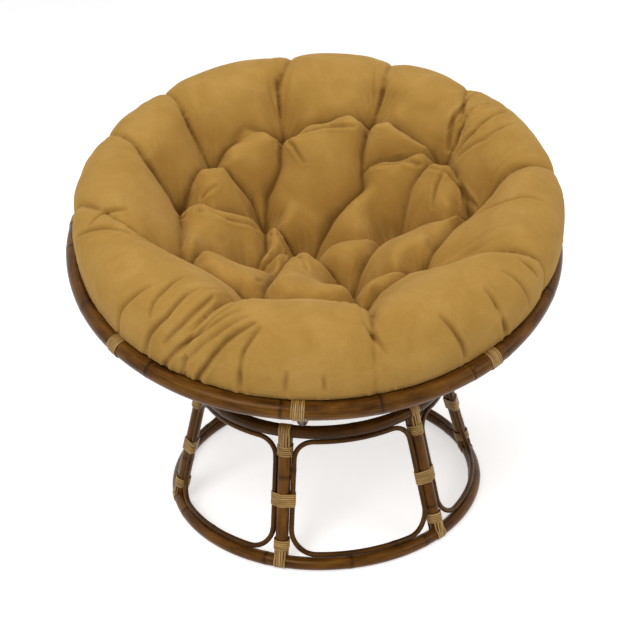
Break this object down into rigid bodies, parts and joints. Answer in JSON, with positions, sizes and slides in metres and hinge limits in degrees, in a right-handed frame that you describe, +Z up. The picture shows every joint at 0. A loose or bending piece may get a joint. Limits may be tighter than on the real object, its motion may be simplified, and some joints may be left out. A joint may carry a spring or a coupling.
{
  "type": "papasan chair",
  "caption": "Papasan chair: a round dish of bent rattan poles leaning on a ring stand with cane bindings, and a deep round tufted cushion lying in the dish.",
  "frame": {"origin": "on the floor, under the middle of the chair's bounding box", "axes": "+Z up; the open mouth of the dish leans towards -Y, the front; +X is the sitter's left, seen from the front on the right"},
  "size_m": [1.0724, 1.0352, 0.8493],
  "materials": {
    "pole": "gloss",
    "dark_pole": "satin",
    "hoop_cane": "satin",
    "cane": "satin",
    "cushion": "matte"
  },
  "bodies": {
    "stand": {"floor_ring": "pole", "seat_ring": "dark_pole", "leg_1": "pole", "window_hoop_1": "hoop_cane", "lower_binding_1": "cane", "middle_binding_1": "cane", "upper_binding_1": "cane", "leg_2": "pole", "window_hoop_2": "hoop_cane", "lower_binding_2": "cane", "middle_binding_2": "cane", "upper_binding_2": "cane", "leg_3": "pole", "window_hoop_3": "hoop_cane", "lower_binding_3": "cane", "middle_binding_3": "cane", "upper_binding_3": "cane", "leg_4": "pole", "window_hoop_4": "hoop_cane", "lower_binding_4": "cane", "middle_binding_4": "cane", "upper_binding_4": "cane", "leg_5": "pole", "window_hoop_5": "hoop_cane", "lower_binding_5": "cane", "middle_binding_5": "cane", "upper_binding_5": "cane", "leg_6": "pole", "window_hoop_6": "hoop_cane", "lower_binding_6": "cane", "middle_binding_6": "cane", "upper_binding_6": "cane"},
    "dish": {"rim": "pole", "rib_1": "dark_pole", "rim_binding_1": "cane", "rib_2": "dark_pole", "rim_binding_2": "cane", "rib_3": "dark_pole", "rim_binding_3": "cane", "rib_4": "dark_pole", "rim_binding_4": "cane", "rib_5": "dark_pole", "rim_binding_5": "cane", "rib_6": "dark_pole", "rim_binding_6": "cane", "rib_7": "dark_pole", "rim_binding_7": "cane", "rib_8": "dark_pole", "rim_binding_8": "cane", "middle_hoop": "dark_pole", "bottom_hoop": "dark_pole", "slat_left": "dark_pole", "slat_centre": "dark_pole", "slat_right": "dark_pole"},
    "cushion": {"cushion": "cushion"}
  },
  "joints": [
    {"name": "dish_tilt", "type": "hinge", "parent": "stand", "child": "dish", "pos_m": [-0.00383, -0.08177, 0.81369], "axis": [1, 0, 0], "range_deg": [-17.6, 15]},
    {"name": "cushion_lift", "type": "slide", "parent": "dish", "child": "cushion", "axis": [0, -0.3024, 0.9532], "range_m": [0, 0.6]}
  ]
}
